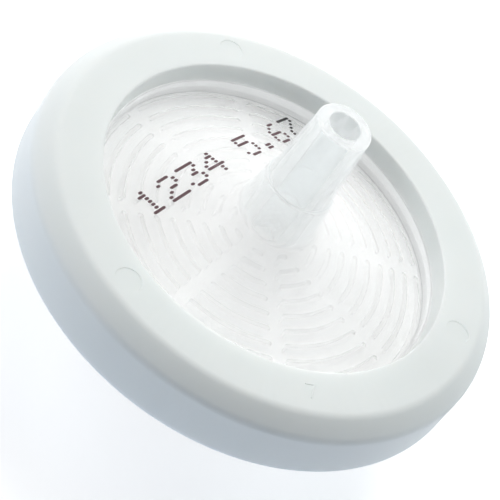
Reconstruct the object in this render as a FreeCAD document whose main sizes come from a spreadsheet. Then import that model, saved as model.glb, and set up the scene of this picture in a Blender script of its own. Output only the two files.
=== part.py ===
"""Syringe filter with an overmoulded sealing ring, as a parametric FreeCAD document.

Four pieces, all coaxial with Z and closed face to face:
  inlet_housing   lower translucent shell with the female luer lock the filter stands on
  membrane        filter disc, pinched between the two shells
  outlet_housing  upper translucent shell: conical plate, support ribs, stepped hub, male nozzle
  overmould_ring  opaque ring moulded round both flanges, which locks the stack together

Millimetres, +Z up, origin at the centre of the inlet's end face. Heights called a "drop" are
measured down from the ring's flat top face, and a "rise" is measured up from it.
"""
import FreeCAD, Part
import math
import os
import Sketcher

V = FreeCAD.Vector

SIZES = {
    # overmoulded ring
    "face_height": 15.2,  # ring's top face above the inlet's end face
    "face_radius": 16.4,
    "window_radius": 13.15,
    "window_foot_radius": 13.07,
    "lip_depth": 1.6,  # thickness of the ring over the outlet rim
    "bevel_radius": 17.76,
    "bevel_drop": 1.1,
    "girth_radius": 17.91,
    "girth_drop": 4.6,
    "ring_foot_radius": 16.7,
    "ring_height": 5.9,
    "bevel_round": 0.85,
    "girth_round": 0.6,
    "window_break": 0.12,
    "foot_break": 0.3,
    "ejector_radius": 0.93,
    "ejector_pitch_radius": 14.9,
    "ejector_depth": 0.05,
    "ejector_angle_first": 4.0,
    "ejector_angle_second": 133.0,
    "ejector_angle_third": 251.0,
    # flanges and membrane
    "seat_drop": 4.1,  # plane of the rib tips, which is also the weld plane
    "flange_radius": 15.4,
    "outlet_flange_thickness": 1.2,
    "inlet_flange_thickness": 1.0,
    "membrane_radius": 14.2,
    "membrane_thickness": 0.2,
    "chamber_radius": 13.4,
    # outlet plate and rim
    "rim_outer_radius": 14.3,
    "rim_width": 1.34,  # across the rim's top
    "rim_slant": 0.06,  # how far the rim's inner wall leans out from plate edge to top
    "rim_break": 0.1,
    "plate_edge_drop": 2.82,
    "drain_roof_rise": 0.35,  # how much higher the plate's inner face is at the bore than at the wall
    # outlet hub and nozzle
    "hub_foot_radius": 2.98,
    "hub_foot_drop": 0.44,
    "hub_foot_round": 0.45,
    "shoulder_radius": 2.56,
    "shoulder_rise": 2.92,
    "shoulder_break": 0.12,
    "nozzle_base_radius": 2.38,
    "nozzle_tip_radius": 1.99,
    "nozzle_rise": 9.0,
    "nozzle_break": 0.15,
    "bore_tip_radius": 1.17,
    "bore_foot_radius": 1.3,
    # outlet ribs and channels
    "rib_outer_radius": 12.7,  # middle of the outermost rib
    "rib_pitch": 1.158,
    "rib_count": 10,
    "rib_width": 0.4,
    "rib_height": 0.4,  # of the outermost rib; the inner ones follow the drain roof
    "channel_width": 1.0,
    "channel_count": 8,
    "channel_angle": -10.3,
    # inlet plate and ribs
    "inlet_step_radius": 13.3,
    "inlet_edge_drop": 5.6,
    "inlet_plate_wall": 0.95,
    "inlet_rib_outer_radius": 12.2,
    "inlet_rib_pitch": 2.1,
    "inlet_rib_count": 5,
    "inlet_rib_width": 0.6,
    "inlet_channel_width": 1.4,
    # inlet hub with its tapered socket and lugs
    "inlet_foot_radius": 3.9,
    "inlet_foot_height": 8.6,
    "inlet_foot_round": 0.6,
    "inlet_hub_radius": 3.36,
    "socket_mouth_radius": 2.15,
    "socket_floor_radius": 1.92,
    "socket_depth": 7.8,
    "inlet_bore_radius": 1.2,
    "lug_radius": 3.9,
    "lug_width": 3.4,
    "lug_height": 1.1,
}

WHOLE_TURN = 360
EDGE_TOLERANCE = 1e-3
TIE_UP = 0.5  # how far a rib reaches into its plate, as a share of the rib's or the plate's height


# ---------------------------------------------------------------- levels, as expressions
def cell(name):
    return "Sizes." + name


def below_face(drop):
    """Height of a level given by its drop from the ring's top face."""
    return f"{cell('face_height')} - {cell(drop)}"


def above_face(rise):
    """Height of a level given by its rise over the ring's top face."""
    return f"{cell('face_height')} + {cell(rise)}"


SEAT = below_face("seat_drop")
OUTLET_FLANGE_TOP = f"{SEAT} + {cell('outlet_flange_thickness')}"
INLET_FLANGE_FOOT = f"{SEAT} - {cell('inlet_flange_thickness')}"
MEMBRANE_FOOT = f"{SEAT} - {cell('membrane_thickness')}"
SOCKET_FLOOR = cell("socket_depth")
RIM_INNER = f"{cell('rim_outer_radius')} - {cell('rim_width')}"
PLATE_EDGE = f"{RIM_INNER} - {cell('rim_slant')}"
INLET_SLOPE = (
    f"({below_face('inlet_edge_drop')} - {cell('inlet_foot_height')})"
    f" / ({cell('inlet_step_radius')} - {cell('inlet_foot_radius')})"
)


def outlet_ceiling(radius):
    """Height of the outlet plate's inner face, a flat cone that drains to the bore, at a radius."""
    return (
        f"{SEAT} + {cell('rib_height')}"
        f" + {cell('drain_roof_rise')} * (1 - ({radius}) / {cell('chamber_radius')})"
    )


def inlet_floor(radius):
    """Height of the inlet plate's inner face, a cone, at a radius."""
    return (
        f"{below_face('inlet_edge_drop')} + {cell('inlet_plate_wall')}"
        f" - {INLET_SLOPE} * ({cell('inlet_step_radius')} - ({radius}))"
    )


# ---------------------------------------------------------------- document helpers
def make_sheet(doc):
    """The driving dimensions, one row each: name in column A, value in column B."""
    sheet = doc.addObject("Spreadsheet::Sheet", "Sizes")
    for row, (name, value) in enumerate(SIZES.items(), start=1):
        sheet.set(f"A{row}", name)
        sheet.set(f"B{row}", str(value))
        sheet.setAlias(f"B{row}", name)
    doc.recompute()
    return sheet


def value_of(sheet, expression):
    """The number that an expression over the sheet gives."""
    return float(sheet.evalExpression(expression))


def make_body(doc, label):
    body = doc.addObject("PartDesign::Body", label)
    body.Label = label
    body.AllowCompound = True
    return body


def plane_of(body, role):
    return next(f for f in body.Origin.OriginFeatures if f.Role == role)


def new_sketch(body, name, role):
    sketch = body.newObject("Sketcher::SketchObject", name)
    sketch.AttachmentSupport = (plane_of(body, role), [""])
    sketch.MapMode = "FlatFace"
    return sketch


def bind(sketch, kind, geometry, point, expression, value):
    """Adds a distance from the sketch's origin to a point and ties it to the sheet."""
    index = sketch.addConstraint(Sketcher.Constraint(kind, -1, 1, geometry, point, value))
    sketch.setExpression(f"Constraints[{index}]", expression)


def tangent_points(before, corner, after, radius):
    """Where a round of this radius leaves one side of a corner and joins the other."""
    inward, outward = (before - corner).normalize(), (after - corner).normalize()
    reach = radius / math.tan(inward.getAngle(outward) / 2)
    middle = (inward + outward).normalize()
    centre = corner + middle * math.hypot(reach, radius)
    return corner + inward * reach, centre - middle * radius, corner + outward * reach


def add_outline(sketch, sheet, corners):
    """A closed outline. Each corner is a pair of expressions, or three with its round's radius.

    A rounded corner keeps its sharp position as a point that lies on both of its sides.
    """
    count = len(corners)
    points = [V(value_of(sheet, c[0]), value_of(sheet, c[1]), 0) for c in corners]
    rounds = {}
    for k, corner in enumerate(corners):
        if len(corner) > 2:
            size = value_of(sheet, corner[2])
            ends = points[k - 1], points[(k + 1) % count]
            rounds[k] = tangent_points(ends[0], points[k], ends[1], size)
    first = sketch.GeometryCount
    for k in range(count):
        after = (k + 1) % count
        start = rounds[k][2] if k in rounds else points[k]
        end = rounds[after][0] if after in rounds else points[after]
        sketch.addGeometry(Part.LineSegment(start, end), False)
    for k, corner in enumerate(corners):
        line_in, line_out = first + (k - 1) % count, first + k
        if k not in rounds:
            joint = Sketcher.Constraint("Coincident", line_in, 2, line_out, 1)
            sketch.addConstraint(joint)
            place = line_out
        else:
            place = round_corner(sketch, line_in, line_out, points[k], rounds[k], corner[2])
        bind(sketch, "DistanceX", place, 1, corner[0], points[k].x)
        bind(sketch, "DistanceY", place, 1, corner[1], points[k].y)


def round_corner(sketch, line_in, line_out, corner, arc_points, radius):
    """Joins two sides with a tangent arc and returns the point that marks their corner."""
    leaves, middle, joins = arc_points
    clockwise = (leaves - corner).cross(joins - corner).z > 0
    ends = (joins, leaves) if clockwise else (leaves, joins)
    near, far = (2, 1) if clockwise else (1, 2)
    arc = sketch.addGeometry(Part.Arc(ends[0], middle, ends[1]), False)
    drawn = sketch.Geometry[arc]
    sketch.addConstraint(Sketcher.Constraint("Tangent", line_in, 2, arc, near))
    sketch.addConstraint(Sketcher.Constraint("Tangent", arc, far, line_out, 1))
    limit = sketch.addConstraint(Sketcher.Constraint("Radius", arc, drawn.Radius))
    sketch.setExpression(f"Constraints[{limit}]", radius)
    mark = sketch.addGeometry(Part.Point(corner), True)
    for side in (line_in, line_out):
        sketch.addConstraint(Sketcher.Constraint("PointOnObject", mark, 1, side))
    return mark


def add_circle(sketch, sheet, x, y, radius):
    """A circle whose centre and radius are expressions."""
    centre = V(value_of(sheet, x), value_of(sheet, y), 0)
    size = value_of(sheet, radius)
    index = sketch.addGeometry(Part.Circle(centre, V(0, 0, 1), size), False)
    bind(sketch, "DistanceX", index, 3, x, centre.x)
    bind(sketch, "DistanceY", index, 3, y, centre.y)
    limit = sketch.addConstraint(Sketcher.Constraint("Radius", index, size))
    sketch.setExpression(f"Constraints[{limit}]", radius)


def revolve(body, sheet, name, outlines):
    """Turns closed outlines in the XZ plane once round Z and adds them to the body."""
    sketch = new_sketch(body, name + "Profile", "XZ_Plane")
    for corners in outlines:
        add_outline(sketch, sheet, corners)
    turned = body.newObject("PartDesign::Revolution", name)
    turned.Profile = sketch
    turned.ReferenceAxis = (sketch, ["V_Axis"])
    turned.Angle = WHOLE_TURN
    body.Document.recompute()
    return turned


def groove(body, sheet, name, corners):
    """Cuts a turned hollow, and makes sure that it took material away."""
    before = body.Shape.Volume
    sketch = new_sketch(body, name + "Profile", "XZ_Plane")
    add_outline(sketch, sheet, corners)
    cut = body.newObject("PartDesign::Groove", name)
    cut.Profile = sketch
    cut.ReferenceAxis = (sketch, ["V_Axis"])
    cut.Angle = WHOLE_TURN
    body.Document.recompute()
    if body.Shape.Volume >= before:
        raise RuntimeError(f"{name} cut nothing")
    return cut


def repeat_about_z(body, name, feature, count):
    pattern = body.newObject("PartDesign::PolarPattern", name)
    pattern.Originals = [feature]
    pattern.Axis = (plane_of(body, "Z_Axis"), [""])
    pattern.Angle = WHOLE_TURN
    pattern.setExpression("Occurrences", cell(count))
    body.Tip = pattern
    body.Document.recompute()
    return pattern


def break_edges(body, sheet, name, circles, size):
    """Chamfers the full-circle edges given as (radius, height) pairs of expressions."""
    base = body.Tip
    wanted = [(value_of(sheet, r), value_of(sheet, z)) for r, z in circles]
    edges = []
    for number, edge in enumerate(base.Shape.Edges, start=1):
        if not isinstance(edge.Curve, Part.Circle):
            continue
        for r, z in wanted:
            near = abs(edge.Curve.Radius - r) + abs(edge.Curve.Center.z - z)
            if near < EDGE_TOLERANCE:
                edges.append(f"Edge{number}")
    if len(edges) != len(wanted):
        raise RuntimeError(f"{name} found {len(edges)} of {len(wanted)} edges")
    chamfer = body.newObject("PartDesign::Chamfer", name)
    chamfer.Base = (base, edges)
    chamfer.setExpression("Size", size)
    body.Tip = chamfer
    body.Document.recompute()
    return chamfer


def comb(outer, pitch, count, width, tip, root):
    """Outlines of concentric ribs. root gives the rib's buried height at a radius."""
    outlines = []
    for k in range(count):
        middle = f"({cell(outer)} - {k} * {cell(pitch)})"
        inside = f"{middle} - {cell(width)} / 2"
        outside = f"{middle} + {cell(width)} / 2"
        buried = root(middle)
        outlines.append([(inside, tip), (outside, tip), (outside, buried), (inside, buried)])
    return outlines


def cut_channels(body, sheet, name, width, reach):
    """Cuts radial channels through the ribs, before the plate joins them."""
    before = body.Shape.Volume
    sketch = new_sketch(body, name + "Slot", "XY_Plane")
    half = f"{cell(width)} / 2"
    start, end = "0", cell(reach)
    corners = [(start, "-" + half), (end, "-" + half), (end, half), (start, half)]
    add_outline(sketch, sheet, corners)
    slot = body.newObject("PartDesign::Pocket", name)
    slot.Profile = sketch
    slot.Type = "ThroughAll"
    slot.Reversed = True
    body.Document.recompute()
    repeat_about_z(body, name + "Pattern", slot, "channel_count")
    if body.Shape.Volume >= before:
        raise RuntimeError(f"{name} cut nothing")


def turn_to_channels(body):
    """Turns a shell about Z so that its channels lie at their angle."""
    body.Placement = FreeCAD.Placement(V(), FreeCAD.Rotation(V(0, 0, 1), 0))
    body.setExpression("Placement.Rotation.Angle", cell("channel_angle"))


# ---------------------------------------------------------------- the pieces
def overmould_ring(doc, sheet):
    """Bevelled ring whose inside follows both flanges and the outlet's raised rim."""
    body = make_body(doc, "overmould_ring")
    face, lip_foot = cell("face_height"), below_face("lip_depth")
    foot = below_face("ring_height")
    bevel, girth = below_face("bevel_drop"), below_face("girth_drop")
    profile = [
        (cell("window_radius"), face),
        (cell("face_radius"), face, cell("bevel_round")),
        (cell("bevel_radius"), bevel, cell("bevel_round")),
        (cell("girth_radius"), girth, cell("girth_round")),
        (cell("ring_foot_radius"), foot),
        (cell("inlet_step_radius"), foot),
        (cell("inlet_step_radius"), INLET_FLANGE_FOOT),
        (cell("flange_radius"), INLET_FLANGE_FOOT),
        (cell("flange_radius"), OUTLET_FLANGE_TOP),
        (cell("rim_outer_radius"), OUTLET_FLANGE_TOP),
        (cell("rim_outer_radius"), lip_foot),
        (cell("window_foot_radius"), lip_foot),
    ]
    revolve(body, sheet, "RingBody", [profile])
    window_edge = [(cell("window_radius"), face)]
    break_edges(body, sheet, "WindowBreak", window_edge, cell("window_break"))
    foot_edge = [(cell("ring_foot_radius"), foot)]
    break_edges(body, sheet, "FootBreak", foot_edge, cell("foot_break"))

    before = body.Shape.Volume
    marks = new_sketch(body, "EjectorCircles", "XY_Plane")
    marks.setExpression("AttachmentOffset.Base.z", face)
    for place in ("first", "second", "third"):
        angle = f"{cell('ejector_angle_' + place)} * 1 deg"
        across = f"{cell('ejector_pitch_radius')} * cos({angle})"
        along = f"{cell('ejector_pitch_radius')} * sin({angle})"
        add_circle(marks, sheet, across, along, cell("ejector_radius"))
    dents = body.newObject("PartDesign::Pocket", "EjectorMarks")
    dents.Profile = marks
    dents.setExpression("Length", cell("ejector_depth"))
    doc.recompute()
    if body.Shape.Volume >= before:
        raise RuntimeError("the ejector marks cut nothing")
    return body


def outlet_housing(doc, sheet):
    """Upper shell: interrupted ribs under a cone, a rim, and the stepped hub and nozzle."""
    body = make_body(doc, "outlet_housing")

    def root(radius):
        return f"{outlet_ceiling(radius)} + {TIE_UP} * {cell('rib_height')}"

    ribs = comb("rib_outer_radius", "rib_pitch", SIZES["rib_count"], "rib_width", SEAT, root)
    revolve(body, sheet, "SupportRibs", ribs)
    cut_channels(body, sheet, "Channels", "channel_width", "chamber_radius")

    tip, shoulder = above_face("nozzle_rise"), above_face("shoulder_rise")
    hub_foot, rim_top = below_face("hub_foot_drop"), below_face("lip_depth")
    profile = [
        (cell("bore_tip_radius"), tip),
        (cell("nozzle_tip_radius"), tip),
        (cell("nozzle_base_radius"), shoulder),
        (cell("shoulder_radius"), shoulder),
        (cell("hub_foot_radius"), hub_foot, cell("hub_foot_round")),
        (PLATE_EDGE, below_face("plate_edge_drop")),
        (RIM_INNER, rim_top),
        (cell("rim_outer_radius"), rim_top),
        (cell("rim_outer_radius"), OUTLET_FLANGE_TOP),
        (cell("flange_radius"), OUTLET_FLANGE_TOP),
        (cell("flange_radius"), SEAT),
        (cell("chamber_radius"), SEAT),
        (cell("chamber_radius"), outlet_ceiling(cell("chamber_radius"))),
        (cell("bore_foot_radius"), outlet_ceiling(cell("bore_foot_radius"))),
    ]
    revolve(body, sheet, "Shell", [profile])
    shoulder_edge = [(cell("shoulder_radius"), shoulder)]
    break_edges(body, sheet, "ShoulderBreak", shoulder_edge, cell("shoulder_break"))
    tip_edge = [(cell("nozzle_tip_radius"), tip)]
    break_edges(body, sheet, "NozzleBreak", tip_edge, cell("nozzle_break"))
    rim_edge = [(RIM_INNER, rim_top)]
    break_edges(body, sheet, "RimBreak", rim_edge, cell("rim_break"))
    turn_to_channels(body)
    return body


def membrane(doc, sheet):
    """Plain disc that lies in the inlet shell's seat and under the outlet's rib tips."""
    body = make_body(doc, "membrane")
    sketch = new_sketch(body, "DiscCircle", "XY_Plane")
    sketch.setExpression("AttachmentOffset.Base.z", MEMBRANE_FOOT)
    size = value_of(sheet, cell("membrane_radius"))
    index = sketch.addGeometry(Part.Circle(V(), V(0, 0, 1), size), False)
    sketch.addConstraint(Sketcher.Constraint("Coincident", index, 3, -1, 1))
    limit = sketch.addConstraint(Sketcher.Constraint("Radius", index, size))
    sketch.setExpression(f"Constraints[{limit}]", cell("membrane_radius"))
    disc = body.newObject("PartDesign::Pad", "Disc")
    disc.Profile = sketch
    disc.setExpression("Length", cell("membrane_thickness"))
    doc.recompute()
    return body


def inlet_housing(doc, sheet):
    """Lower shell: membrane seat, feed ribs, shallow cone and the female luer lock hub."""
    body = make_body(doc, "inlet_housing")

    def root(radius):
        return f"{inlet_floor(radius)} - {TIE_UP} * {cell('inlet_plate_wall')}"

    ribs = comb("inlet_rib_outer_radius", "inlet_rib_pitch", SIZES["inlet_rib_count"],
                "inlet_rib_width", MEMBRANE_FOOT, root)
    revolve(body, sheet, "FeedRibs", ribs)
    cut_channels(body, sheet, "FeedChannels", "inlet_channel_width", "chamber_radius")

    edge = below_face("inlet_edge_drop")
    profile = [
        (cell("membrane_radius"), SEAT),
        (cell("flange_radius"), SEAT),
        (cell("flange_radius"), INLET_FLANGE_FOOT),
        (cell("inlet_step_radius"), INLET_FLANGE_FOOT),
        (cell("inlet_step_radius"), edge),
        (cell("inlet_foot_radius"), cell("inlet_foot_height"), cell("inlet_foot_round")),
        (cell("inlet_hub_radius"), "0"),
        (cell("socket_mouth_radius"), "0"),
        (cell("socket_floor_radius"), SOCKET_FLOOR),
        (cell("inlet_bore_radius"), SOCKET_FLOOR),
        (cell("inlet_bore_radius"), inlet_floor(cell("inlet_bore_radius"))),
        (cell("chamber_radius"), inlet_floor(cell("chamber_radius"))),
        (cell("chamber_radius"), MEMBRANE_FOOT),
        (cell("membrane_radius"), MEMBRANE_FOOT),
    ]
    revolve(body, sheet, "Shell", [profile])
    add_lugs(body, sheet)
    turn_to_channels(body)
    return body


def add_lugs(body, sheet):
    """Two lugs at the inlet's mouth, the ends of one bar across the hub with round ends."""
    reach = value_of(sheet, cell("lug_radius"))
    half = value_of(sheet, cell("lug_width")) / 2
    across = math.sqrt(reach**2 - half**2)
    swing = math.asin(half / reach)
    sketch = new_sketch(body, "LugOutline", "XY_Plane")
    right = Part.ArcOfCircle(Part.Circle(V(), V(0, 0, 1), reach), -swing, swing)
    left = Part.ArcOfCircle(
        Part.Circle(V(), V(0, 0, 1), reach), math.pi - swing, math.pi + swing
    )
    sketch.addGeometry([
        right,
        Part.LineSegment(V(across, half, 0), V(-across, half, 0)),
        left,
        Part.LineSegment(V(-across, -half, 0), V(across, -half, 0)),
    ], False)
    for end, start in (((0, 2), (1, 1)), ((1, 2), (2, 1)), ((2, 2), (3, 1)), ((3, 2), (0, 1))):
        sketch.addConstraint(Sketcher.Constraint("Coincident", *end, *start))
    for arc in (0, 2):
        sketch.addConstraint(Sketcher.Constraint("Coincident", arc, 3, -1, 1))
    for line in (1, 3):
        sketch.addConstraint(Sketcher.Constraint("Horizontal", line))
    limit = sketch.addConstraint(Sketcher.Constraint("Radius", 0, reach))
    sketch.setExpression(f"Constraints[{limit}]", cell("lug_radius"))
    sketch.addConstraint(Sketcher.Constraint("Equal", 0, 2))
    bind(sketch, "DistanceY", 1, 1, f"{cell('lug_width')} / 2", half)
    bind(sketch, "DistanceY", 3, 1, f"-{cell('lug_width')} / 2", -half)
    lugs = body.newObject("PartDesign::Pad", "Lugs")
    lugs.Profile = sketch
    lugs.setExpression("Length", cell("lug_height"))
    body.Document.recompute()
    socket = [
        ("0", "0"),
        (cell("socket_mouth_radius"), "0"),
        (cell("socket_floor_radius"), SOCKET_FLOOR),
        ("0", SOCKET_FLOOR),
    ]
    groove(body, sheet, "Socket", socket)


# ---------------------------------------------------------------- build and write
def check(doc, bodies):
    for thing in doc.Objects:
        if {"Invalid", "Error"} & set(thing.State):
            raise RuntimeError(f"{thing.Name} failed: {thing.State}")
    for body in bodies:
        shape = body.Shape
        if shape.isNull() or not shape.isValid() or len(shape.Solids) != 1:
            raise RuntimeError(f"{body.Label} is not one valid solid")


def main():
    doc = FreeCAD.newDocument("syringe_filter")
    sheet = make_sheet(doc)
    bodies = [
        overmould_ring(doc, sheet),
        outlet_housing(doc, sheet),
        membrane(doc, sheet),
        inlet_housing(doc, sheet),
    ]
    doc.recompute()
    check(doc, bodies)
    os.makedirs("parts", exist_ok=True)
    for body in bodies:
        body.Shape.exportStep(f"parts/{body.Label}.step")
        print(body.Label, "volume", round(body.Shape.Volume, 2), "mm3")


main()
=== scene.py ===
"""Looks of the syringe filter: fine meshes, materials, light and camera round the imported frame."""
import math
from collections import namedtuple

import bmesh
import bpy
from mathutils import Matrix, Vector


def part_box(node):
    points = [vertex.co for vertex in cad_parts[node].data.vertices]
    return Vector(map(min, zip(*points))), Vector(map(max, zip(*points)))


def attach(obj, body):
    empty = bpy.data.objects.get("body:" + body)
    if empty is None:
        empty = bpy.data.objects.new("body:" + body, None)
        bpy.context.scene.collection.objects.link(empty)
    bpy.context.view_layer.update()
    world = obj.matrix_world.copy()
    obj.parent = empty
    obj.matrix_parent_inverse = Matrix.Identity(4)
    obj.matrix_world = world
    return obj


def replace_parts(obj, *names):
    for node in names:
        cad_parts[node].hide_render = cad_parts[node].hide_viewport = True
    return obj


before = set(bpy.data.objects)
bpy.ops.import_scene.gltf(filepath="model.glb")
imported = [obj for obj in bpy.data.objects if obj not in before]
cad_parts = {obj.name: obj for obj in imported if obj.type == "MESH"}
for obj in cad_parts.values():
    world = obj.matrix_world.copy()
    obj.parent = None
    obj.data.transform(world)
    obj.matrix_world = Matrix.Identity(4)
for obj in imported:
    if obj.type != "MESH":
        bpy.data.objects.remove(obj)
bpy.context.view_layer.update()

MM = 0.001

# Sizes are in mm. The main ones are the solids' own, and the three heights come from the frame.
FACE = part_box("overmould_ring")[1].z / MM
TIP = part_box("outlet_housing")[1].z / MM
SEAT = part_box("membrane")[1].z / MM

# Where the pieces meet
WINDOW_RADIUS = 13.15
LIP_DEPTH = 1.6
RIM_RADIUS = 14.3
FLANGE_RADIUS = 15.4
OUTLET_FLANGE = 1.2
INLET_FLANGE = 1.0
STEP_RADIUS = 13.3
CHAMBER_RADIUS = 13.4
MEMBRANE_THICKNESS = 0.2

# The radial channels that cut the ribs of both shells
CHANNELS = 8
CHANNEL_ANGLE = math.radians(-10.3)
SECTOR = 2 * math.pi / CHANNELS
WIDEST_GAP = 0.31 * SECTOR  # half a channel where all of them crowd round the bore
BAR_STEPS = 24
GAP_STEPS = 4
END_TURNS = [math.radians(a) for a in (12, 20, 40, 65, 90)]
LONGEST_END = 0.3  # share of a bar that one of its round ends may take

Rib = namedtuple("Rib", "middle root half tip")


# ---------------------------------------------------------------- outlines and meshes
def soften(corners, step=math.radians(9)):
    """Outline points from corners given as (r, z) or (r, z, radius of the corner's round)."""
    points = []
    count = len(corners)
    for k, corner in enumerate(corners):
        here = Vector(corner[:2])
        if len(corner) < 3:
            points.append(here)
            continue
        back = (Vector(corners[k - 1][:2]) - here).normalized()
        ahead = (Vector(corners[(k + 1) % count][:2]) - here).normalized()
        half = back.angle(ahead) / 2
        reach = corner[2] / math.tan(half)
        centre = here + (back + ahead).normalized() * math.hypot(reach, corner[2])
        start, end = here + back * reach - centre, here + ahead * reach - centre
        turn = math.pi - 2 * half
        sign = 1 if start.x * end.y - start.y * end.x > 0 else -1
        steps = max(3, round(turn / step))
        for i in range(steps + 1):
            points.append(centre + Matrix.Rotation(sign * turn * i / steps, 2) @ start)
    return points


def even_angles(count):
    return [2 * math.pi * k / count for k in range(count)]


def sector_angles(radius, channel_width, ends):
    """Angles round a circle whose steps meet the straight sides of the radial channels."""
    gap = min(math.asin(min(1, channel_width / 2 / radius)), WIDEST_GAP)
    run = SECTOR - 2 * gap
    reach = min(1.0, LONGEST_END * run * radius / ends[-1])
    near = [0.0] + [d * reach / radius for d in ends]
    plain = run - 2 * near[-1]
    bar = near + [near[-1] + plain * i / BAR_STEPS for i in range(1, BAR_STEPS)]
    bar += [run - d for d in reversed(near[1:])]
    angles = []
    for k in range(CHANNELS):
        middle = CHANNEL_ANGLE + k * SECTOR
        angles += [middle - gap + 2 * gap * i / GAP_STEPS for i in range(GAP_STEPS)]
        angles += [middle + gap + a for a in bar]
    return angles


def add_vert(mesh, x, y, z):
    return mesh.verts.new((x * MM, y * MM, z * MM))


def add_polar(mesh, radius, angle, z):
    return add_vert(mesh, radius * math.cos(angle), radius * math.sin(angle), z)


def skin(mesh, loops):
    """Joins each closed loop of vertices to the next with four-sided faces."""
    for low, high in zip(loops, loops[1:]):
        for j in range(len(low)):
            side = (j + 1) % len(low)
            mesh.faces.new((low[j], low[side], high[side], high[j]))


def loop_edges(mesh, loop):
    return [mesh.edges.get(pair) for pair in zip(loop, loop[1:] + loop[:1])]


def capsule(a, b, radius, cap_steps=8):
    """Points round the line from a to b at one distance, with half circles at its ends."""
    lane = (b - a).normalized()
    across = Vector((-lane.y, lane.x))
    points = []
    for end, start in ((b, -math.pi / 2), (a, math.pi / 2)):
        for i in range(cap_steps + 1):
            t = start + math.pi * i / cap_steps
            points.append(end + (lane * math.cos(t) + across * math.sin(t)) * radius)
    return points


def finish_piece(name, mesh, material, sharp=32):
    """A shaded object from a bmesh, riding on the one body."""
    bmesh.ops.recalc_face_normals(mesh, faces=mesh.faces)
    data = bpy.data.meshes.new(name)
    mesh.to_mesh(data)
    mesh.free()
    data.shade_smooth()
    data.set_sharp_from_angle(angle=math.radians(sharp))
    piece = bpy.data.objects.new(name, data)
    bpy.context.scene.collection.objects.link(piece)
    data.materials.append(material)
    weighted = piece.modifiers.new("weighted_normals", "WEIGHTED_NORMAL")
    weighted.keep_sharp = True
    weighted.weight = 100
    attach(piece, "root")
    return piece


def turn_ribbed(mesh, rows, channel_width, rib_width):
    """Turns a closed outline whose ribs, round at their ends, are cut by the radial channels.

    rows holds the outline's points (r, z) and, in their places, its ribs. A rib stands round a
    middle radius on the surface root(r), with half its width there and the half profile tip of
    (distance from the middle, z). Both halves are negative where the outline runs outwards.
    """
    ends = [rib_width / 2 * (1 - math.cos(a)) for a in END_TURNS[1:]]
    narrow = [math.sin(a) for a in END_TURNS]
    bar = narrow[:-1] + [1.0] * (BAR_STEPS + 1) + narrow[-2:0:-1]
    widths = ([narrow[0]] * GAP_STEPS + bar) * CHANNELS
    count = len(widths)
    period = count // CHANNELS

    def ring_at(radius, offset, height):
        ring = []
        for share, angle in zip(widths, sector_angles(radius, channel_width, ends)):
            r = radius + offset * share
            ring.append(add_polar(mesh, r, angle, height(r) if callable(height) else height))
        return ring

    courses = []
    for row in rows:
        if not isinstance(row, Rib):
            courses.append((ring_at(row[0], 0.0, row[1]), []))
            continue
        profile = row.tip + [(-x, z) for x, z in reversed(row.tip)]
        near = ring_at(row.middle, row.half, row.root)
        crest = [ring_at(row.middle, x, z) for x, z in profile]
        far = ring_at(row.middle, -row.half, row.root)
        courses += [(near, crest), (far, [])]
    for k, (ring, crest) in enumerate(courses):
        after = courses[(k + 1) % len(courses)][0]
        chain = [ring] + crest + [after]
        for j in range(count):
            side = (j + 1) % count
            if not crest or j % period < GAP_STEPS:
                mesh.faces.new((ring[j], ring[side], after[side], after[j]))
                continue
            for low, high in zip(chain, chain[1:]):
                mesh.faces.new((low[j], low[side], high[side], high[j]))
            if j % period == GAP_STEPS:
                mesh.faces.new([link[j] for link in chain])
            if side % period == 0:
                mesh.faces.new([link[side] for link in reversed(chain)])
        for link in crest:
            loose = [v for v in link if not v.link_faces]
            bmesh.ops.delete(mesh, geom=loose, context="VERTS")


# ---------------------------------------------------------------- materials
def new_material(name):
    material = bpy.data.materials.new(name)
    material.use_nodes = True
    tree = material.node_tree
    return material, tree, tree.nodes["Principled BSDF"]


def add_noise(tree, scale, detail=3.0, roughness=0.5):
    place = tree.nodes.new("ShaderNodeTexCoord")
    noise = tree.nodes.new("ShaderNodeTexNoise")
    noise.inputs["Scale"].default_value = scale
    noise.inputs["Detail"].default_value = detail
    noise.inputs["Roughness"].default_value = roughness
    tree.links.new(place.outputs["Object"], noise.inputs["Vector"])
    return noise.outputs["Fac"]


def place_along(tree, axis):
    """The place along one axis of the part's frame, in metres."""
    place = tree.nodes.new("ShaderNodeTexCoord")
    split = tree.nodes.new("ShaderNodeSeparateXYZ")
    tree.links.new(place.outputs["Object"], split.inputs["Vector"])
    return split.outputs[axis]


def vary(tree, fac, low, high, socket, from_min=0.3, from_max=0.7):
    """Drives a socket between two values or two colours by a texture or a place."""
    spread = tree.nodes.new("ShaderNodeMapRange")
    spread.inputs["From Min"].default_value = from_min
    spread.inputs["From Max"].default_value = from_max
    tree.links.new(fac, spread.inputs["Value"])
    if isinstance(low, tuple):
        mix = tree.nodes.new("ShaderNodeMix")
        mix.data_type = "RGBA"
        mix.inputs["A"].default_value = (*low, 1)
        mix.inputs["B"].default_value = (*high, 1)
        tree.links.new(spread.outputs["Result"], mix.inputs["Factor"])
        tree.links.new(mix.outputs["Result"], socket)
    else:
        spread.inputs["To Min"].default_value = low
        spread.inputs["To Max"].default_value = high
        tree.links.new(spread.outputs["Result"], socket)


def add_bump(tree, shader, fac, strength, distance):
    bump = tree.nodes.new("ShaderNodeBump")
    bump.inputs["Strength"].default_value = strength
    bump.inputs["Distance"].default_value = distance
    tree.links.new(fac, bump.inputs["Height"])
    tree.links.new(bump.outputs["Normal"], shader.inputs["Normal"])


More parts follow.
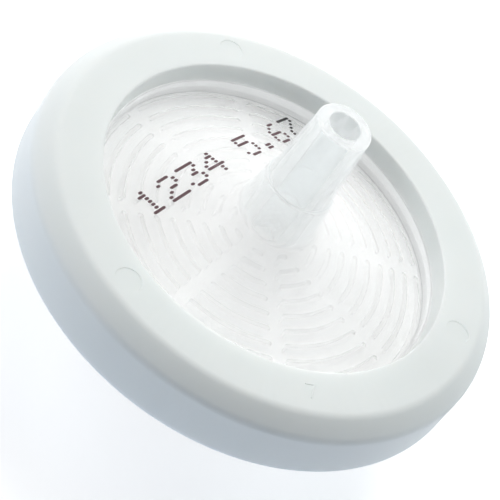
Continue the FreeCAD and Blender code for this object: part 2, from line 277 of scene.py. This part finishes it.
def let_light_in(tree, shader, share):
    """Lets a share of the lamps' light through to what lies under the plastic."""
    path = tree.nodes.new("ShaderNodeLightPath")
    clear = tree.nodes.new("ShaderNodeBsdfTransparent")
    clear.inputs["Color"].default_value = (share, share, share, 1)
    mix = tree.nodes.new("ShaderNodeMixShader")
    tree.links.new(path.outputs["Is Shadow Ray"], mix.inputs["Fac"])
    tree.links.new(shader.outputs["BSDF"], mix.inputs[1])
    tree.links.new(clear.outputs["BSDF"], mix.inputs[2])
    tree.links.new(mix.outputs["Shader"], tree.nodes["Material Output"].inputs["Surface"])


def ring_white(name, glow_through):
    """White polypropylene with a fine satin mould finish, thin enough to let some light through."""
    material, tree, shader = new_material(name)
    cloud = add_noise(tree, 160.0)
    vary(tree, cloud, (0.80, 0.833, 0.83), (0.82, 0.848, 0.845), shader.inputs["Base Color"])
    vary(tree, cloud, 0.40, 0.50, shader.inputs["Roughness"])
    shader.inputs["Specular IOR Level"].default_value = 0.35
    shader.inputs["Subsurface Weight"].default_value = glow_through
    shader.inputs["Subsurface Radius"].default_value = (1.0, 0.97, 0.94)
    shader.inputs["Subsurface Scale"].default_value = 0.001
    add_bump(tree, shader, add_noise(tree, 2600.0), 0.05, 0.00004)
    let_light_in(tree, shader, 0.4)
    return material


def ring_inside_painted_light():
    """The ring's inside faces, where the clear shells are bonded to them, painted far brighter than
    the ring's own white: painted light for the light the clear shells carry in under the lip.
    """
    material, tree, shader = new_material("ring_inside_painted_light")
    cloud = add_noise(tree, 160.0)
    # painted light: a base colour far above the ring's white, standing in for light guided in through
    # the clear shells
    vary(tree, cloud, (0.97, 0.975, 0.975), (0.98, 0.985, 0.985), shader.inputs["Base Color"])
    shader.inputs["Roughness"].default_value = 0.9
    shader.inputs["Specular IOR Level"].default_value = 0.0
    let_light_in(tree, shader, 1.0)
    return material


def clear_polypropylene():
    """Natural polypropylene, glossy and milky through its thickness, greyer from the hub up."""
    material, tree, shader = new_material("clear_polypropylene")
    veil = add_noise(tree, 420.0, detail=2.0)
    vary(tree, veil, 0.04, 0.06, shader.inputs["Roughness"])
    vary(tree, place_along(tree, "Z"), (0.99, 0.994, 0.998), (0.90, 0.925, 0.93),
         shader.inputs["Base Color"], from_min=(FACE - 0.5) * MM, from_max=(FACE + 0.1) * MM)
    shader.inputs["Transmission Weight"].default_value = 0.97
    shader.inputs["IOR"].default_value = 1.49
    haze = tree.nodes.new("ShaderNodeVolumeScatter")
    haze.inputs["Color"].default_value = (0.99, 0.995, 1.0, 1)
    haze.inputs["Density"].default_value = 480.0
    tree.links.new(haze.outputs["Volume"], tree.nodes["Material Output"].inputs["Volume"])
    let_light_in(tree, shader, 1.0)
    return material


def membrane_white():
    """Matt white porous film with a faint fibrous grain."""
    material, tree, shader = new_material("membrane_white")
    grain = add_noise(tree, 3000.0, detail=6.0, roughness=0.7)
    vary(tree, grain, (0.90, 0.905, 0.90), (0.95, 0.95, 0.945), shader.inputs["Base Color"])
    shader.inputs["Roughness"].default_value = 0.9
    shader.inputs["Specular IOR Level"].default_value = 0.2
    add_bump(tree, shader, grain, 0.25, 0.00003)
    return material


def print_ink():
    """Inkjet ink, brown at the start of the line and turning black towards its end."""
    material, tree, shader = new_material("print_ink")
    vary(tree, place_along(tree, "Y"), (0.105, 0.058, 0.066), (0.006, 0.005, 0.006),
         shader.inputs["Base Color"], from_min=9.4 * MM, from_max=10.8 * MM)
    blot = add_noise(tree, 5000.0, detail=4.0)
    vary(tree, blot, 0.35, 0.6, shader.inputs["Roughness"])
    return material


RING_WHITE = ring_white("ring_white", 0.8)
NUMBER_WHITE = ring_white("number_white", 0.0)
RING_INSIDE_PAINTED_LIGHT = ring_inside_painted_light()
CLEAR = clear_polypropylene()
MEMBRANE = membrane_white()
INK = print_ink()


# ---------------------------------------------------------------- the ring
WINDOW_FOOT_RADIUS = 13.07
FACE_RADIUS = 16.4
BEVEL_RADIUS = 17.76
BEVEL_DROP = 1.1
BEVEL_ROUND = 0.85
GIRTH_RADIUS = 17.91
GIRTH_DROP = 4.6
RING_FOOT_RADIUS = 16.7
RING_HEIGHT = 5.9
RING_STEPS = 320
MARK_RADIUS = 0.93
MARK_DEPTH = 0.05
MARK_SLOPE = 0.03
MARK_BAND = 0.12
MARK_STEPS = 64
MARK_PITCH = 14.9
MARK_ANGLES = (4.0, 133.0, 251.0)
TINY = 0.0001  # more than a height is rounded by
NEAR = 0.01  # less than any face stands off the pocket's walls


def make_ring():
    """The ring: a turned outline whose flat face is filled round the three ejector marks."""
    mesh = bmesh.new()
    corners = [
        (WINDOW_RADIUS, FACE, 0.14),
        (FACE_RADIUS, FACE, BEVEL_ROUND),
        (BEVEL_RADIUS, FACE - BEVEL_DROP, BEVEL_ROUND),
        (GIRTH_RADIUS, FACE - GIRTH_DROP, 0.6),
        (RING_FOOT_RADIUS, FACE - RING_HEIGHT, 0.3),
        (STEP_RADIUS, FACE - RING_HEIGHT, 0.1),
        (STEP_RADIUS, SEAT - INLET_FLANGE),
        (FLANGE_RADIUS, SEAT - INLET_FLANGE),
        (FLANGE_RADIUS, SEAT + OUTLET_FLANGE),
        (RIM_RADIUS, SEAT + OUTLET_FLANGE),
        (RIM_RADIUS, FACE - LIP_DEPTH),
        (WINDOW_FOOT_RADIUS, FACE - LIP_DEPTH, 0.05),
    ]
    points = soften(corners)
    flat = [k for k, p in enumerate(points) if abs(p.y - FACE) < TINY]
    points = points[flat[1]:] + points[:flat[1]]
    angles = even_angles(RING_STEPS)
    loops = [[add_polar(mesh, p.x, a, p.y) for a in angles] for p in points]
    skin(mesh, loops)
    edges = loop_edges(mesh, loops[0]) + loop_edges(mesh, loops[-1])
    for angle in MARK_ANGLES:
        edges += sink_mark(mesh, math.radians(angle))
    bmesh.ops.triangle_fill(mesh, use_beauty=True, edges=edges)
    # the ring's inside faces, where the shells meet it, take the second material, which holds the
    # painted light
    for face in mesh.faces:
        middle = face.calc_center_median() / MM
        in_height = SEAT - INLET_FLANGE + NEAR < middle.z < FACE - LIP_DEPTH + NEAR
        if in_height and math.hypot(middle.x, middle.y) < FLANGE_RADIUS + NEAR:
            face.material_index = 1
    piece = finish_piece("ring_shell", mesh, RING_WHITE)
    piece.data.materials.append(RING_INSIDE_PAINTED_LIGHT)
    return piece


def sink_mark(mesh, angle):
    """A shallow round dent with a softly sloping wall; returns the edges of its rim."""
    middle = Vector((MARK_PITCH * math.cos(angle), MARK_PITCH * math.sin(angle), FACE))
    levels = (
        (MARK_RADIUS, 0.0),
        (MARK_RADIUS - MARK_SLOPE, MARK_DEPTH),
        (MARK_RADIUS - MARK_BAND, MARK_DEPTH),
    )
    loops = []
    for radius, depth in levels:
        turns = even_angles(MARK_STEPS)
        rays = [Vector((radius * math.cos(a), radius * math.sin(a), -depth)) for a in turns]
        loops.append([mesh.verts.new((middle + ray) * MM) for ray in rays])
    skin(mesh, loops)
    mesh.faces.new(loops[-1])
    return loop_edges(mesh, loops[0])


# ---------------------------------------------------------------- the outlet shell
BORE_TIP_RADIUS = 1.17
BORE_FOOT_RADIUS = 1.3
NOZZLE_TIP_RADIUS = 1.99
NOZZLE_BASE_RADIUS = 2.38
SHOULDER_RADIUS = 2.56
SHOULDER_RISE = 2.92
HUB_FOOT = (2.98, FACE - 0.44)
PLATE_EDGE = (12.9, FACE - 2.82)
PLATE_SLOPE = (HUB_FOOT[1] - PLATE_EDGE[1]) / (PLATE_EDGE[0] - HUB_FOOT[0])
RIM_INNER = 12.96
ROOF_RISE = 0.35
BOND = 0.02  # how far the skin reaches into the ring and the membrane, so that no air lies between
BOND_START = 13.2
BOND_FULL = 13.25
RIB_COUNT = 10
RIB_OUTER = 12.7
RIB_PITCH = 1.158
RIB_HEIGHT = 0.4
RIB_ROOT = 0.22
RIB_TIP = 0.18
RIB_TIP_ROUND = 0.07
RIB_PRESS = 0.01
CHANNEL_WIDTH = 1.0


def plate_top(radius):
    return PLATE_EDGE[1] + PLATE_SLOPE * (PLATE_EDGE[0] - radius)


def plate_ceiling(radius):
    return SEAT + RIB_HEIGHT + ROOF_RISE * (1 - radius / CHAMBER_RADIUS)


def make_outlet():
    """Plate, rim, hub and nozzle in one closed skin, with every interrupted rib part of it."""
    rim_top = FACE - LIP_DEPTH
    flange_top = SEAT + OUTLET_FLANGE + BOND
    corners = [
        (BORE_TIP_RADIUS, TIP, 0.06),
        (NOZZLE_TIP_RADIUS, TIP, 0.2),
        (NOZZLE_BASE_RADIUS, FACE + SHOULDER_RISE, 0.1),
        (SHOULDER_RADIUS, FACE + SHOULDER_RISE, 0.14),
        (*HUB_FOOT, 0.45),
        (*PLATE_EDGE, 0.12),
        (RIM_INNER, rim_top, 0.12),
        (BOND_START, rim_top),
        (BOND_FULL, rim_top + BOND),
        (RIM_RADIUS + BOND, rim_top + BOND),
        (RIM_RADIUS + BOND, flange_top),
        (FLANGE_RADIUS + BOND, flange_top),
        (FLANGE_RADIUS + BOND, SEAT - BOND),
        (CHAMBER_RADIUS, SEAT - BOND),
        (CHAMBER_RADIUS, plate_ceiling(CHAMBER_RADIUS), 0.06),
        (BORE_FOOT_RADIUS, plate_ceiling(BORE_FOOT_RADIUS), 0.1),
    ]
    points = soften(corners)
    before_ribs = 1 + max(k for k, p in enumerate(points) if p.x > RIB_OUTER)
    foot = SEAT - RIB_PRESS
    arc = [math.radians(a) for a in (0, 30, 60, 90)]
    tip = [(RIB_TIP - RIB_TIP_ROUND * (1 - math.cos(a)), foot + RIB_TIP_ROUND * (1 - math.sin(a)))
           for a in arc]
    ribs = [Rib(RIB_OUTER - k * RIB_PITCH, plate_ceiling, RIB_ROOT, tip) for k in range(RIB_COUNT)]
    mesh = bmesh.new()
    turn_ribbed(mesh, points[:before_ribs] + ribs + points[before_ribs:], CHANNEL_WIDTH, 2 * RIB_ROOT)
    return finish_piece("outlet_shell", mesh, CLEAR)


# ---------------------------------------------------------------- the inlet shell
INLET_GAP = 0.02
INLET_STEP = STEP_RADIUS - INLET_GAP
INLET_EDGE = FACE - 5.6
INLET_WALL = 0.95
INLET_FOOT = (3.9, 8.6)
INLET_SLOPE = (INLET_EDGE - INLET_FOOT[1]) / (INLET_STEP - INLET_FOOT[0])
INLET_HUB_RADIUS = 3.36
INLET_BORE_RADIUS = 1.2
SOCKET_MOUTH_RADIUS = 2.15
SOCKET_FLOOR_RADIUS = 1.92
SOCKET_DEPTH = 7.8
POCKET_RADIUS = 14.25
POCKET_CLEARANCE = 0.015
FEED_RIB_COUNT = 5
FEED_RIB_OUTER = 12.2
FEED_RIB_PITCH = 2.1
FEED_RIB_WIDTH = 0.6
FEED_RIB_ROOT = 0.32
FEED_RIB_TIP = 0.28
FEED_CHANNEL_WIDTH = 1.4
LUG_RADIUS = 3.9
LUG_WIDTH = 3.4
LUG_HEIGHT = 1.1
LUG_FOOT = 0.02
LUG_EASE = 0.12
LUG_ROOT = 0.05
LUG_STEPS = 14


def inlet_floor(radius):
    return INLET_EDGE + INLET_WALL - INLET_SLOPE * (INLET_STEP - radius)


def hub_radius(z):
    return INLET_HUB_RADIUS + (INLET_FOOT[0] - INLET_HUB_RADIUS) * z / INLET_FOOT[1]


def make_inlet():
    """Lower plate, feed ribs and the luer hub with its tapered socket."""
    pocket = SEAT - MEMBRANE_THICKNESS - POCKET_CLEARANCE
    corners = [
        (POCKET_RADIUS, SEAT - INLET_GAP),
        (FLANGE_RADIUS - INLET_GAP, SEAT - INLET_GAP),
        (FLANGE_RADIUS - INLET_GAP, SEAT - INLET_FLANGE),
        (INLET_STEP, SEAT - INLET_FLANGE),
        (INLET_STEP, INLET_EDGE, 0.15),
        (*INLET_FOOT, 0.6),
        (INLET_HUB_RADIUS, 0.0, 0.12),
        (SOCKET_MOUTH_RADIUS, 0.0, 0.08),
        (SOCKET_FLOOR_RADIUS, SOCKET_DEPTH, 0.1),
        (INLET_BORE_RADIUS, SOCKET_DEPTH),
        (INLET_BORE_RADIUS, inlet_floor(INLET_BORE_RADIUS)),
    ]
    rows = soften(corners)
    for k in reversed(range(FEED_RIB_COUNT)):
        middle = FEED_RIB_OUTER - k * FEED_RIB_PITCH
        rows.append(Rib(middle, inlet_floor, -FEED_RIB_ROOT, [(-FEED_RIB_TIP, pocket)]))
    rows.append((CHAMBER_RADIUS, inlet_floor(CHAMBER_RADIUS)))
    rows.append((CHAMBER_RADIUS, pocket))
    rows.append((POCKET_RADIUS, pocket))
    mesh = bmesh.new()
    turn_ribbed(mesh, rows, FEED_CHANNEL_WIDTH, FEED_RIB_WIDTH)
    return finish_piece("inlet_shell", mesh, CLEAR)


def make_lugs():
    """Two lugs that wrap the mouth of the luer hub, with eased edges."""
    mesh = bmesh.new()
    swing = math.asin(LUG_WIDTH / 2 / LUG_RADIUS)
    sweep = [2 * i / LUG_STEPS - 1 for i in range(LUG_STEPS + 1)]
    levels = (
        (LUG_FOOT, LUG_EASE),
        (LUG_EASE, 0.0),
        (LUG_HEIGHT - LUG_EASE, 0.0),
        (LUG_HEIGHT, LUG_EASE),
    )
    for turn in (0, math.pi):
        start = CHANNEL_ANGLE + turn
        loops = []
        for z, ease in levels:
            root = hub_radius(z) - LUG_ROOT
            root_swing = math.asin(LUG_WIDTH / 2 / hub_radius(z))
            outer = [add_polar(mesh, LUG_RADIUS - ease, start + swing * s, z) for s in sweep]
            inner = [add_polar(mesh, root, start - root_swing * s, z) for s in sweep]
            loops.append(outer + inner)
        skin(mesh, loops)
        for cap in (loops[0], loops[-1]):
            for i in range(LUG_STEPS):
                mesh.faces.new((cap[i], cap[i + 1], cap[-2 - i], cap[-1 - i]))
    return finish_piece("inlet_lugs", mesh, CLEAR)


# ---------------------------------------------------------------- print and mould number
COLUMNS = 5
ROWS = 7
DIGITS = {
    "1": (0b00100, 0b01100, 0b00100, 0b00100, 0b00100, 0b00100, 0b01110),
    "2": (0b01110, 0b10001, 0b00001, 0b00110, 0b01000, 0b10000, 0b11111),
    "3": (0b11111, 0b00001, 0b00010, 0b00110, 0b00001, 0b10001, 0b01110),
    "4": (0b00010, 0b00110, 0b01010, 0b10010, 0b11111, 0b00010, 0b00010),
    "5": (0b11111, 0b10000, 0b11110, 0b00001, 0b00001, 0b10001, 0b01110),
    "6": (0b00110, 0b01000, 0b10000, 0b11110, 0b10001, 0b10001, 0b01110),
    "7": (0b11111, 0b00001, 0b00010, 0b00100, 0b01000, 0b01000, 0b01000),
    ".": (0, 0, 0, 0, 0, 0b01100, 0b01100),
    " ": (0, 0, 0, 0, 0, 0, 0),
}
PRINT_TEXT = "1234 5.67"
PRINT_FIRST = Vector((-7.31, -5.38))
PRINT_ANGLE = math.radians(75.7)
COLUMN_PITCH = 0.35
ROW_PITCH = 0.306
DOT_WIDTH = 0.235
DOT_LENGTH = 0.335
INK_HEIGHT = 0.012
INK_DEPTH = 0.004
INK_TAPER = 0.9
NUMBER_ANGLE = math.radians(305.0)
NUMBER_PITCH = 14.75
NUMBER_TALL = 1.0
NUMBER_WIDE = 0.62
NUMBER_PEN = 0.075
NUMBER_STROKES = (((-0.5, 0.5), (0.5, 0.5)), ((0.5, 0.5), (-0.12, -0.5)))
NUMBER_LEVELS = ((1.0, -0.01), (1.0, 0.015), (0.7, 0.03), (0.3, 0.035))


def runs_of(bits):
    """Columns of a row of dots that touch, as [first, last] pairs."""
    runs = []
    for k in range(COLUMNS):
        if not bits >> (COLUMNS - 1 - k) & 1:
            continue
        if runs and runs[-1][1] == k - 1:
            runs[-1][1] = k
        else:
            runs.append([k, k])
    return runs


def make_print():
    """Dot-matrix digits laid on the cone: dots of one row run together, rows stay apart."""
    mesh = bmesh.new()
    along = Vector((math.cos(PRINT_ANGLE), math.sin(PRINT_ANGLE)))
    up = Vector((-along.y, along.x))
    for place, sign in enumerate(PRINT_TEXT):
        middle = PRINT_FIRST + along * (place * (COLUMNS + 1) * COLUMN_PITCH)
        for row, bits in enumerate(DIGITS[sign]):
            origin = middle + up * ((ROWS // 2 - row) * ROW_PITCH)
            for run in runs_of(bits):
                low, high = ((k - COLUMNS // 2) * COLUMN_PITCH for k in run)
                add_dash(mesh, origin, along, up, low, high)
    return finish_piece("printed_digits", mesh, INK)


def add_dash(mesh, origin, along, up, low, high):
    """One run of ink: a flat dash with round ends and tapered sides, draped on the cone."""
    straight = (DOT_LENGTH - DOT_WIDTH) / 2
    start, end = Vector((low - straight, 0.0)), Vector((high + straight, 0.0))
    top, foot = [], []
    for p in capsule(start, end, DOT_WIDTH / 2):
        low_spot = origin + along * p.x + up * p.y
        top_spot = origin + along * p.x + up * (p.y * INK_TAPER)
        z = plate_top(low_spot.length)
        top.append(add_vert(mesh, top_spot.x, top_spot.y, z + INK_HEIGHT))
        foot.append(add_vert(mesh, low_spot.x, low_spot.y, z - INK_DEPTH))
    skin(mesh, [foot, top])
    mesh.faces.new(top)
    mesh.faces.new(list(reversed(foot)))


def make_mould_number():
    """The small raised cavity number on the ring's face."""
    mesh = bmesh.new()
    out = Vector((math.cos(NUMBER_ANGLE), math.sin(NUMBER_ANGLE)))
    right = Vector((-out.y, out.x))
    middle = out * NUMBER_PITCH
    for stroke in NUMBER_STROKES:
        a, b = (middle + right * (x * NUMBER_WIDE) - out * (y * NUMBER_TALL) for x, y in stroke)
        loops = []
        for share, rise in NUMBER_LEVELS:
            spots = capsule(a, b, NUMBER_PEN * share)
            loops.append([add_vert(mesh, p.x, p.y, FACE + rise) for p in spots])
        skin(mesh, loops)
        mesh.faces.new(loops[-1])
        mesh.faces.new(list(reversed(loops[0])))
    return finish_piece("mould_number", mesh, NUMBER_WHITE, sharp=60)


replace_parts(make_ring(), "overmould_ring")
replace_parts(make_outlet(), "outlet_housing")
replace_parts(make_inlet(), "inlet_housing")
make_lugs()
make_print()
make_mould_number()
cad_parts["membrane"].data.materials[0] = MEMBRANE


# ---------------------------------------------------------------- floor, light and camera
FLOOR_HALF = 1.5
FLOOR_GLOW = 0.55
GLOW_RISES_FROM = 0.15
GLOW_IS_WHITE_AT = 0.5
AMBIENT = 0.06
LAMP_DISTANCE = 0.35
LAMP_AIM = Vector((0.0, 0.0, 0.013))
LAMPS = (  # name, turn and height in degrees, size in m, power in W, colour
    ("back_high", 110, 63, 0.20, 0.80, (1.0, 1.0, 0.98)),
    ("back_left", 170, 30, 0.20, 0.50, (1.0, 1.0, 1.0)),
    ("back_right", 50, 30, 0.20, 0.32, (0.92, 1.0, 1.0)),
    ("right", 20, 18, 0.12, 0.12, (1.0, 1.0, 1.0)),
    ("front_low", 250, 18, 0.12, 0.13, (0.90, 0.95, 1.0)),
)


def make_floor():
    """A plain pale floor that the camera and the gloss see as white, with its shadow kept."""
    mesh = bmesh.new()
    signs = ((-1, -1), (1, -1), (1, 1), (-1, 1))
    mesh.faces.new([mesh.verts.new((x * FLOOR_HALF, y * FLOOR_HALF, 0.0)) for x, y in signs])
    data = bpy.data.meshes.new("floor")
    mesh.to_mesh(data)
    mesh.free()
    floor = bpy.data.objects.new("floor", data)
    bpy.context.scene.collection.objects.link(floor)
    material, tree, shader = new_material("floor_white")
    shader.inputs["Base Color"].default_value = (0.82, 0.83, 0.85, 1)
    shader.inputs["Roughness"].default_value = 1.0
    shader.inputs["Specular IOR Level"].default_value = 0.0
    shader.inputs["Emission Color"].default_value = (1, 1, 1, 1)
    place = tree.nodes.new("ShaderNodeTexCoord")
    far = tree.nodes.new("ShaderNodeVectorMath")
    far.operation = "LENGTH"
    tree.links.new(place.outputs["Object"], far.inputs[0])
    glow = tree.nodes.new("ShaderNodeMath")
    glow.operation = "MULTIPLY"
    tree.links.new(seen_directly(tree), glow.inputs[0])
    vary(tree, far.outputs["Value"], FLOOR_GLOW, 1.0, glow.inputs[1],
         from_min=GLOW_RISES_FROM, from_max=GLOW_IS_WHITE_AT)
    tree.links.new(glow.outputs["Value"], shader.inputs["Emission Strength"])
    data.materials.append(material)


def seen_directly(tree):
    """1 for camera, glossy and transmitted rays and 0 for the light that falls on the part."""
    path = tree.nodes.new("ShaderNodeLightPath")
    share = path.outputs["Is Camera Ray"]
    for name in ("Is Glossy Ray", "Is Transmission Ray"):
        most = tree.nodes.new("ShaderNodeMath")
        most.operation = "MAXIMUM"
        tree.links.new(share, most.inputs[0])
        tree.links.new(path.outputs[name], most.inputs[1])
        share = most.outputs["Value"]
    return share


def make_world():
    """White where it is seen, and a faint cool light on the part."""
    world = bpy.data.worlds.new("studio")
    bpy.context.scene.world = world
    world.use_nodes = True
    tree = world.node_tree
    back = tree.nodes["Background"]
    back.inputs["Color"].default_value = (0.97, 0.985, 1.0, 1)
    back.inputs["Strength"].default_value = AMBIENT
    white = tree.nodes.new("ShaderNodeBackground")
    white.inputs["Color"].default_value = (1, 1, 1, 1)
    mix = tree.nodes.new("ShaderNodeMixShader")
    tree.links.new(seen_directly(tree), mix.inputs["Fac"])
    tree.links.new(back.outputs["Background"], mix.inputs[1])
    tree.links.new(white.outputs["Background"], mix.inputs[2])
    tree.links.new(mix.outputs["Shader"], tree.nodes["World Output"].inputs["Surface"])


def new_lamp(name, shape, size, power, colour):
    """An area lamp that lights the part and isn't mirrored in it."""
    data = bpy.data.lights.new(name, "AREA")
    data.shape = shape
    data.size = size
    data.energy = power
    data.color = colour
    lamp = bpy.data.objects.new(name, data)
    lamp.visible_glossy = False
    lamp.visible_transmission = False
    bpy.context.scene.collection.objects.link(lamp)
    return lamp


def add_lamp(name, turn, height, size, power, colour):
    """A round soft lamp that faces the part, at a turn about Z and a height over the floor."""
    lamp = new_lamp(name, "DISK", size, power, colour)
    a, h = math.radians(turn), math.radians(height)
    toward = Vector((math.cos(a) * math.cos(h), math.sin(a) * math.cos(h), math.sin(h)))
    lamp.location = toward * LAMP_DISTANCE + LAMP_AIM
    lamp.rotation_euler = toward.to_track_quat("Z", "Y").to_euler()


def add_table_bounce():
    """The cool light that a bright table throws up at the part, from a lamp lying face up."""
    lamp = new_lamp("table_bounce", "SQUARE", 0.4, 0.19, (0.55, 0.72, 1.0))
    lamp.location = (0.0, -0.12, 0.0006)
    lamp.rotation_euler = (math.pi, 0.0, 0.0)
    lamp.visible_camera = False


def make_camera():
    """A long lens that looks down at the outlet side, rolled so that the part leans."""
    data = bpy.data.cameras.new("camera")
    data.sensor_width = 36.0
    data.lens = 108.0
    data.clip_start = 0.005
    camera = bpy.data.objects.new("camera", data)
    right, up = Vector((0.793, 0.415, 0.446)), Vector((-0.609, 0.540, 0.581))
    back = Vector((0.0, -0.732, 0.681))
    turn = Matrix((right, up, back)).transposed()
    place = Matrix.Translation((0.0, -0.07806, 0.08293))
    camera.matrix_world = place @ turn.to_4x4()
    bpy.context.scene.collection.objects.link(camera)
    bpy.context.scene.camera = camera


make_floor()
make_world()
for lamp_values in LAMPS:
    add_lamp(*lamp_values)
add_table_bounce()
make_camera()
bpy.context.scene.view_settings.view_transform = "Standard"
bounces = bpy.context.scene.cycles
bounces.max_bounces = 32
bounces.diffuse_bounces = 12
bounces.glossy_bounces = 16
bounces.transmission_bounces = 24
bounces.volume_bounces = 12
